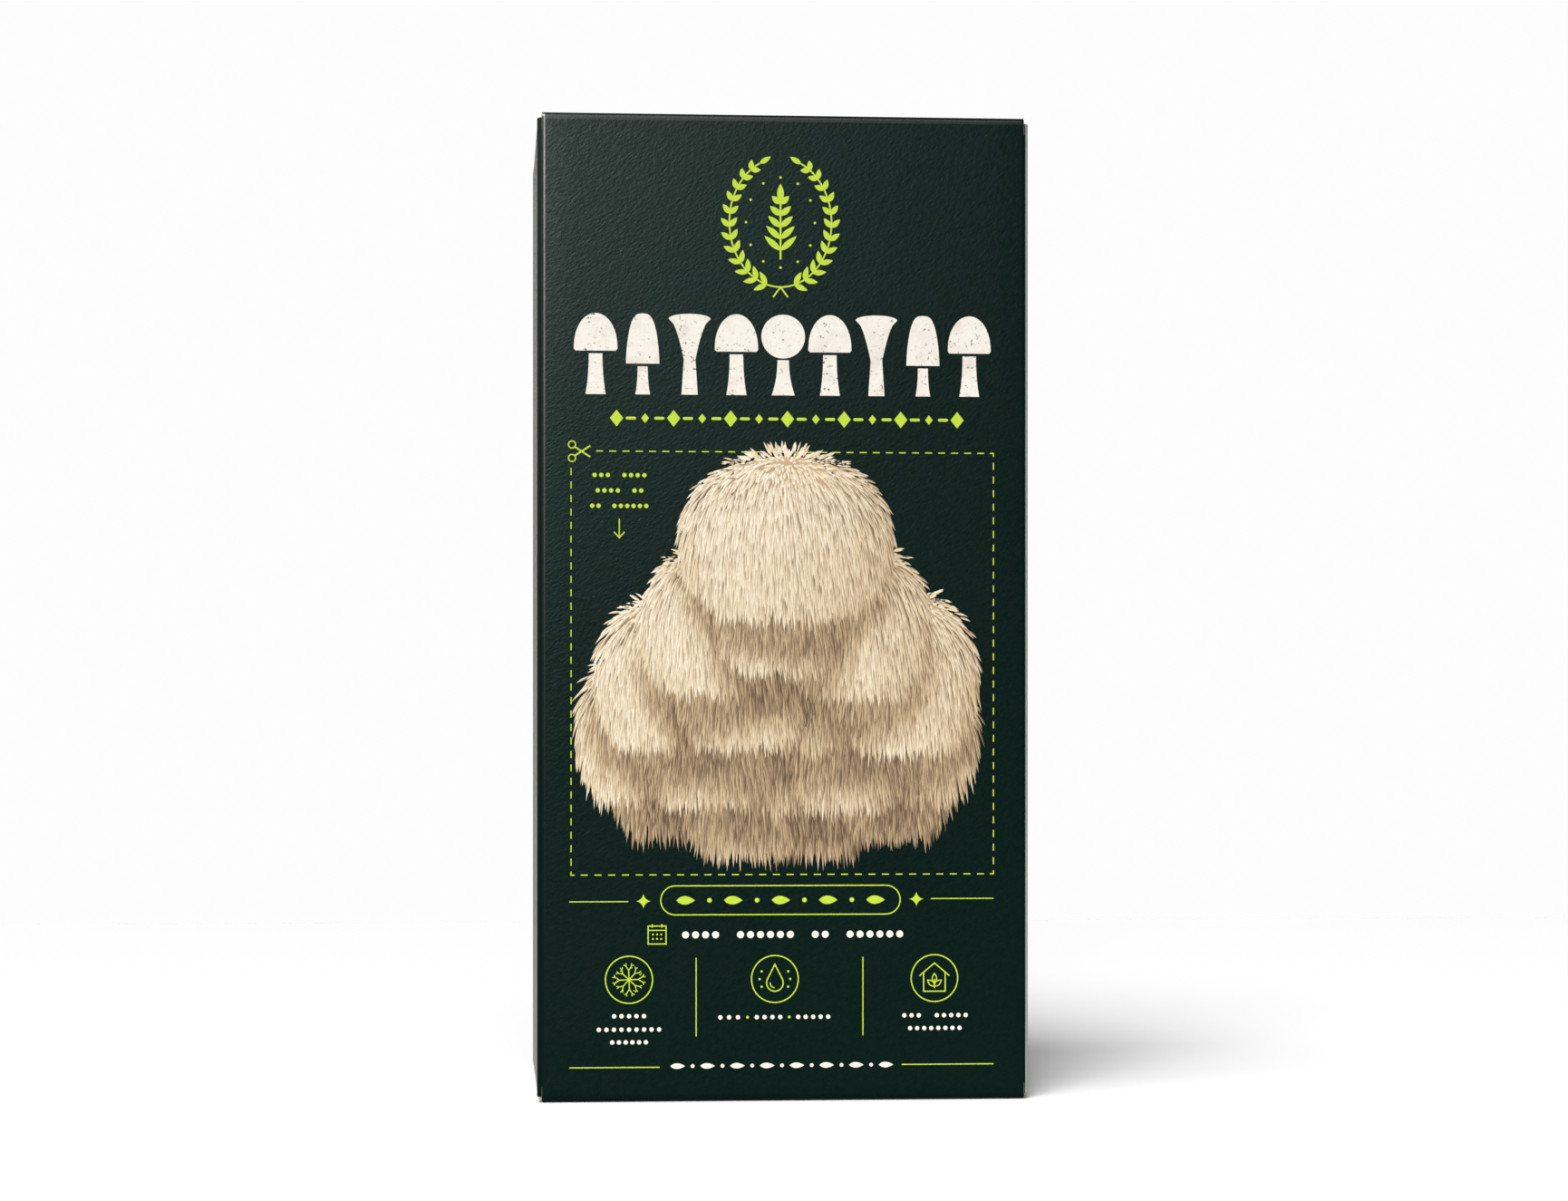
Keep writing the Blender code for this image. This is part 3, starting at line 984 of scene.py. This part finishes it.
def house(made, centre):
    x, z = centre
    eaves, wall, floor_low = 3.9, 2.8, 3.4
    made.line([(x - eaves, z + 0.6), (x, z + 3.9), (x + eaves, z + 0.6)], THIN_LINE)
    left, right = x - wall, x + wall
    made.line([(left, z + 1.4), (left, z - floor_low), (right, z - floor_low), (right, z + 1.4)], THIN_LINE)
    made.line([(x, z - 2.6), (x, z - 0.2)], HAIRLINE)
    for side in (-1, 1):
        made.line(leaf_outline((x, z - 2.0), 2.3, 90 - side * 50, 1.15), HAIRLINE, closed=True)
    made.line(leaf_outline((x, z - 1.2), 2.4, 90, 1.2), HAIRLINE, closed=True)


def captions():
    """Off-white rows of beads where a carton has its small print, and a row of seeds at its foot."""
    made = Ink()
    made.bead_row(-26.4, 30.8, 42.9, (4, 6, 2, 6), size=1.85)
    for left, right, z, words in (
        (-44.4, -35.6, 22.1, (5,)),
        (-48.3, -31.7, 18.65, (9,)),
        (-44.9, -35.1, 15.4, (6,)),
        (-17.1, -11.4, 21.65, (3,)),
        (-7.7, -0.5, 21.65, (4,)),
        (3.0, 11.9, 21.65, (5,)),
        (30.5, 47.6, 21.85, (3, 5)),
        (32.0, 46.0, 18.55, (8,)),
    ):
        made.bead_row(left, right, z, words)
    made.seed_row(spread(-27.5, 26.3, 14), 9.2, 3.8, 1.5, bead=0.5)
    made.finish("print_captions", "cream")


# Printed picture

SPINE_DARK = srgb(80, 58, 37)
SPINE_MID = srgb(190, 164, 127)
SPINE_PALE = srgb(226, 208, 177)
SPINE_WHITE = srgb(238, 229, 210)
SPINE_REACH = 7.0
SUNWARD = Vector((-0.32, 0.66, 0.68))


def blend_colour(low, high, share):
    share = min(max(share, 0.0), 1.0)
    return tuple(a + (b - a) * share for a, b in zip(low, high))


def spine_colour(light):
    """From the dark gaps at 0 through tan at a half to near white at 1."""
    if light < 0.4:
        return blend_colour(SPINE_DARK, SPINE_MID, light / 0.4)
    if light < 0.75:
        return blend_colour(SPINE_MID, SPINE_PALE, (light - 0.4) / 0.35)
    return blend_colour(SPINE_PALE, SPINE_WHITE, (light - 0.75) / 0.25)


def smooth(share):
    share = min(max(share, 0.0), 1.0)
    return share * share * (3 - 2 * share)


class Lobe:
    """One hanging dome of the cascade. u runs across it and w up it, both from -1 to 1."""

    def __init__(self, x, z, half_width, half_height):
        self.centre = Vector((x, z))
        self.half_width = half_width
        self.half_height = half_height

    def root(self, u, w):
        return self.centre + Vector((u * self.half_width, w * self.half_height))

    def covers(self, point):
        offset = point - self.centre
        return math.hypot(offset.x / self.half_width, offset.y / self.half_height) < 0.72

    def shade(self, point):
        """Darker close below this lobe's fringe, and a little beside it."""
        tall = 0.86 * self.half_height + 0.7 * SPINE_REACH
        offset = point - self.centre + Vector((0, 0.14 * self.half_height))
        out = max(math.hypot(offset.x / self.half_width, offset.y / tall), 0.01)
        below = smooth((0.40 - offset.y / (tall * out)) / 1.05)
        return 1 - 0.68 * below * (1 - smooth((out - 0.93) * self.half_width / 8.5))


def spine(made, rng, root, way, length, width, light, crown, layer):
    """One tapered spine, paler at its left and its tip, darker at its right and its root."""
    swell = (0.55, 1.0, 0.78)
    droop = -0.12
    root_tone = 0.72 + 0.24 * crown
    points = [Vector(root)]
    direction = Vector(way)
    for _ in swell:
        direction = (direction + Vector((rng.uniform(-0.06, 0.06), droop))).normalized()
        points.append(points[-1] + direction * length / len(swell))
    left, right = [], []
    for i, point in enumerate(points[:-1]):
        share = i / len(swell)
        along = (points[i + 1] - point).normalized()
        across = Vector((-along.y, along.x)) * (width / 2 * swell[i])
        if across.x > 0:
            across = -across
        glow = light * (root_tone + (1.08 - root_tone) * share)
        left.append((tuple(point + across), spine_colour(glow + 0.14)))
        right.append((tuple(point - across), spine_colour(glow - 0.42 + 0.18 * crown)))
    tip = (tuple(points[-1]), spine_colour(light * 1.12 + 0.04))
    outline, colours = zip(*left, tip, *reversed(right))
    made.polygon(outline, colours, layer)


def cover(made, rng, lobe, layer, over):
    """Covers a lobe with spines in rows, those at its turning line on top.

    The lobes in over lie in front of it. They hide what is under them and darken what is round them.
    """
    pitch_z, pitch_x, turn = 1.45, 0.47, 0.84
    lowest, highest = -0.77, 0.985
    count = int(1.76 * lobe.half_height / pitch_z)
    for w in sorted(spread(lowest, highest, count), key=lambda w: -abs(w - turn)):
        half_row = math.sqrt(max(1 - w * w, 0.01))
        crown = smooth((w - 0.45) / 0.5)
        number = max(int(2 * half_row * lobe.half_width / pitch_x * (1 + 0.6 * crown)), 7)
        for i in range(number):
            u = ((i + 0.5 + rng.uniform(-0.42, 0.42)) / number * 2 - 1) * half_row
            level = w + rng.uniform(-0.55, 0.55) * pitch_z / lobe.half_height
            root = lobe.root(u, level)
            facing = math.sqrt(max(1 - u * u - level * level, 0.0))
            up = max(level, 0.0)
            out = 0.20 + 0.55 * up * (1 - facing) ** 2
            way = Vector((u * up + out * u + rng.uniform(-0.06, 0.06), up * up - 1 + out * level))
            shown = min(way.length + 0.30, 1.0)
            fall = 0.40 + 0.60 * smooth((0.9 - level) / 1.1)
            length = SPINE_REACH * shown * fall * rng.uniform(0.75, 1.2)
            normal = Vector((u, max(level, -0.12), facing + 0.25)).normalized()
            light = 0.37 + 0.47 * normal.dot(SUNWARD)
            uneven = rng.uniform(-0.17, 0.15)
            if any(other.covers(root) for other in over):
                continue
            for other in over:
                light *= other.shade(root)
            width = rng.uniform(0.46, 0.70)
            depth = layer + 0.22 * (i % 4)
            spine(made, rng, root, way.normalized(), length, width, light + uneven, crown, depth)
        layer += 1
    return layer


def ground(made, lobe, layer):
    """Tan ground behind a lobe, so that no board shows between its spines."""
    angles = radians_range(0, 360, 72)[:-1]
    outline = [tuple(lobe.root(0.96 * math.cos(a), 0.95 * math.sin(a))) for a in angles]
    colours = [blend_colour(SPINE_DARK, SPINE_MID, smooth(2.4 * math.sin(a) - 1.1)) for a in angles]
    made.polygon(outline, colours, layer)


def picture():
    """A cascade of hanging spines in overlapping rows of lobes, under one broad dome."""
    middle_x = -0.3
    # Height, reach to each side, number of lobes, their half width and half height, and bow of each row
    rows = [
        (79.8, 28.5, 4, 15.5, 17.0, 5.0),
        (94.5, 36.2, 5, 15.3, 18.5, 2.0),
        (111.0, 31.0, 4, 17.0, 19.5, -1.0),
        (128.5, 19.5, 3, 17.5, 19.0, -4.0),
        (146.6, 0.0, 1, 26.0, 20.5, 0.0),
    ]
    rng = random.Random(11)
    tiers = []
    for z, reach_x, number, half_width, half_height, bow in rows:
        tier = []
        for place in [0.0] if number == 1 else spread(-1.0, 1.0, number - 1):
            x = middle_x + reach_x * place + rng.uniform(-1.0, 1.0)
            size = rng.uniform(0.93, 1.07)
            lift = bow * place * place + rng.uniform(-1.0, 1.0)
            tier.append(Lobe(x, z + lift, half_width * size, half_height * size))
        tiers += [tier[0::2], tier[1::2]]
    layer = 1
    for number, tier in enumerate(tiers):
        if not tier:
            continue
        made = Ink()
        over = [lobe for later in tiers[number + 1:] for lobe in later]
        tops = []
        for lobe in tier:
            ground(made, lobe, layer)
            tops.append(cover(made, rng, lobe, layer + 1, over))
        layer = max(tops)
        made.finish(f"print_picture_row_{number + 1}", "picture")


# Bag and block

FILM_INSET = 1.2 * MM
FILM_CLEAR = 0.4 * MM
BAG_HALF_X = bag_high.x - FILM_INSET
BAG_HALF_Y = bag_high.y - FILM_INSET
SHOULDER_Z = block_high.z + 4 * MM
FIN_Z = bag_high.z - 12 * MM


def rounded_ring(half_x, half_y, radius, per_side, per_corner=6):
    """Points round a rounded rectangle, with as many on each straight side as the film needs to crumple."""
    x, y = half_x - radius, half_y - radius
    corners = ((x, -y), (x, y), (-x, y), (-x, -y))
    turns = [arc(corner, 90 * i - 90, 90 * i, radius, per_corner) for i, corner in enumerate(corners)]
    points = []
    for turn, following in zip(turns, turns[1:] + turns[:1]):
        points += turn
        for share in spread(0.0, 1.0, per_side)[1:-1]:
            points.append([a + (b - a) * share for a, b in zip(turn[-1], following[0])])
    return points


# One seed, so that the creases and lumps are the same in every run
noise.seed_set(11)


def crumple(point, amount, scale):
    """The point moved at most by about an amount, in waves that a larger scale makes finer."""
    return point + noise.noise_vector(point * scale) * amount


def crumpled_ring(z, amount, scale, *ring_sizes):
    return [crumple(Vector((x, y, z)), amount, scale) for x, y in rounded_ring(*ring_sizes)]


def lofted(name, rings, material, cap_high=False):
    """Skin through rings of points, closed below."""
    shape = bmesh.new()
    verts = [[shape.verts.new(p) for p in ring] for ring in rings]
    for low, high in zip(verts, verts[1:]):
        for i in range(len(low)):
            j = (i + 1) % len(low)
            shape.faces.new((low[i], low[j], high[j], high[i]))
    shape.faces.new(verts[0][::-1])
    if cap_high:
        shape.faces.new(verts[-1])
    return add_shape(name, shape, [material])


def grow_bag():
    """Film drawn round the block, gathered to a gable and a crimped fin above it."""
    per_side = 18
    corner = 9 * MM
    foot_high, foot_in = 6 * MM, 4 * MM
    fin_in, fin_half, fin_sway = 2 * MM, 1.2 * MM, 0.5 * MM
    rings = []
    for z in spread(bag_low.z + FILM_CLEAR, SHOULDER_Z, 44):
        tuck_in = max(0.0, 1 - (z - bag_low.z) / foot_high) * foot_in
        sizes = (BAG_HALF_X - tuck_in, BAG_HALF_Y - tuck_in, corner, per_side)
        rings.append(crumpled_ring(z, 0.5 * MM, 90, *sizes))
    for share in spread(0.0, 1.0, 16)[1:]:
        z = SHOULDER_Z + (FIN_Z - SHOULDER_Z) * share
        depth = BAG_HALF_Y + (fin_half - BAG_HALF_Y) * math.sin(share * math.pi / 2) ** 0.9
        loose = 1.6 * MM * math.sin(share * math.pi) + 0.3 * MM
        sizes = (BAG_HALF_X - fin_in * share, depth, min(corner, 0.9 * depth), per_side)
        rings.append(crumpled_ring(z, loose, 60, *sizes))
    for share in spread(0.0, 1.0, 10)[1:]:
        z = FIN_Z + (bag_high.z - FILM_CLEAR - FIN_Z) * share
        sway = fin_sway * math.sin(share * math.pi * 5)
        ring = rounded_ring(BAG_HALF_X - fin_in, 0.9 * MM, 0.8 * MM, per_side)
        rings.append([Vector((x, y + sway, z)) for x, y in ring])
    piece = lofted("grow_bag_film", rings, bag_film())
    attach(piece, "carton")
    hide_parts("grow_bag")


def filter_patch():
    """Square of breathable cloth welded on the gable, above the block."""
    width, tall, clear, sag = 34 * MM, 24 * MM, 7.5 * MM, 1.75 * MM
    shoulder = Vector((0, -BAG_HALF_Y, SHOULDER_Z))
    top = Vector((0, -2.0 * MM, FIN_Z))
    up = (top - shoulder).normalized()
    out = Vector((0, -up.z, up.y))
    middle = shoulder.lerp(top, 0.5) + out * clear
    rows = []
    for v in spread(-0.5, 0.5, 18):
        row = []
        for u in spread(-0.5 * width, 0.5 * width, 24):
            base = middle + Vector((u, 0, 0)) + up * v * tall
            row.append(crumple(base, 0.5 * MM, 110) - out * sag * (2 * v) ** 2)
        rows.append(row)
    shape = bmesh.new()
    add_grid(shape, rows)
    piece = add_shape("filter_patch", shape, [filter_cloth()])
    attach(piece, "carton")


def grow_block():
    """Brick of sawdust felted over with mycelium, lumpy and soft at its rims."""
    half_x, half_y = block_high.x - 1.0 * MM, block_high.y - 1.0 * MM
    low, high = block_low.z + 0.5 * MM, block_high.z - 0.8 * MM
    rim, corner = 8 * MM, 7 * MM
    per_side = 22
    levels = [low + rim * (1 - math.cos(a)) for a in radians_range(0, 90, 6)]
    levels += spread(low + rim, high - rim, 40)[1:-1]
    levels += [high - rim + rim * math.sin(a) for a in radians_range(0, 90, 6)]
    rings = []
    for z in levels:
        past = max(low + rim - z, z - (high - rim), 0.0)
        draw_in = rim - math.sqrt(max(rim * rim - past * past, 0.0))
        sizes = (half_x - draw_in, half_y - draw_in, corner, per_side)
        rings.append(crumpled_ring(z, 0.7 * MM, 140, *sizes))
    for share in (0.82, 0.6, 0.38, 0.16):
        sizes = ((half_x - rim) * share, (half_y - rim) * share, corner * share, per_side)
        rings.append(crumpled_ring(high, 0.9 * MM, 140, *sizes))
    piece = lofted("grow_block_brick", rings, mycelium(), cap_high=True)
    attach(piece, "carton")
    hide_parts("grow_block")


# Studio

PHOTO_WIDTH = 1730
FOCAL_PIXELS = 3968
HORIZON_BELOW_MIDDLE = 137.5
CAMERA_PLACE = (-0.0755, -0.9706, 0.0968)
CAMERA_TURN = -4.67
SCREEN_WHITE = 0.985
STUDIO_GREY = 0.15


def camera():
    data = bpy.data.cameras.new("photo_camera")
    data.sensor_fit = "HORIZONTAL"
    data.sensor_width = 36
    data.lens = FOCAL_PIXELS / PHOTO_WIDTH * data.sensor_width
    data.shift_y = HORIZON_BELOW_MIDDLE / PHOTO_WIDTH
    data.clip_start = 0.01
    made = add_object("photo_camera", data)
    made.location = CAMERA_PLACE
    made.rotation_euler = (math.radians(90), 0, math.radians(CAMERA_TURN))
    bpy.context.scene.camera = made


def softbox(name, place, aim, size, power):
    data = bpy.data.lights.new(name, "AREA")
    data.shape = "RECTANGLE"
    data.size, data.size_y = size
    data.energy = power
    made = add_object(name, data)
    made.location = place
    made.rotation_euler = (Vector(aim) - Vector(place)).to_track_quat("-Z", "Y").to_euler()


def wide_sky(name, azimuth, elevation, spread_angle, strength):
    """Even light from a large soft source far away. Azimuth goes from straight in front to the right."""
    data = bpy.data.lights.new(name, "SUN")
    data.angle = math.radians(spread_angle)
    data.energy = strength
    made = add_object(name, data)
    a, e = math.radians(azimuth), math.radians(elevation)
    toward = Vector((math.sin(a) * math.cos(e), -math.cos(a) * math.cos(e), math.sin(e)))
    made.rotation_euler = toward.to_track_quat("Z", "Y").to_euler()
    made.location = toward * 2


def floor():
    half, near = 0.8, 0.27
    corners = [(-half, -near, 0), (half, -near, 0), (half, half, 0), (-half, half, 0)]
    mesh = bpy.data.meshes.new("studio_floor")
    mesh.from_pydata(corners, [], [(0, 1, 2, 3)])
    made = Surface("floor_paper", (0.92, 0.92, 0.92), 0.75, 0.2)
    made.colour(made.mix(made.ramp(made.noise(300)), (0.915, 0.915, 0.915), (0.925, 0.925, 0.925)))
    made.normal(made.bump(made.noise(900, 2.0), 0.05, 0.0001))
    piece = add_mesh("studio_floor", mesh, [made.material])
    piece.visible_glossy = False


def world():
    """White behind the carton for the camera, and a softer grey for everything that the studio lights."""
    made = bpy.data.worlds.new("studio_world")
    made.use_nodes = True
    nodes, links = made.node_tree.nodes, made.node_tree.links
    seen, light = nodes["Background"], nodes.new("ShaderNodeBackground")
    for background, strength in ((seen, SCREEN_WHITE), (light, STUDIO_GREY)):
        background.inputs["Color"].default_value = (1, 1, 1, 1)
        background.inputs["Strength"].default_value = strength
    ray = nodes.new("ShaderNodeLightPath")
    mix = nodes.new("ShaderNodeMixShader")
    links.new(ray.outputs["Is Camera Ray"], mix.inputs[0])
    links.new(light.outputs[0], mix.inputs[1])
    links.new(seen.outputs[0], mix.inputs[2])
    links.new(mix.outputs[0], nodes["World Output"].inputs["Surface"])
    bpy.context.scene.world = made


def studio():
    scene = bpy.context.scene
    scene.view_settings.view_transform = "Standard"
    scene.view_settings.look = "None"
    camera()
    floor()
    world()
    softbox("front_softbox", (-0.40, -3.30, 0.99), (0, 0, 0.13), size=(0.5, 0.5), power=35)
    wide_sky("high_sky", azimuth=-31, elevation=65, spread_angle=24, strength=1.62)
    wide_sky("front_sky", azimuth=-15, elevation=45, spread_angle=27, strength=2.10)


studio()
carton()
for draw in (wreath, frieze, lozenge_row, cut_frame, badge_row, pictograms, captions, picture):
    draw()
grow_bag()
filter_patch()
grow_block()
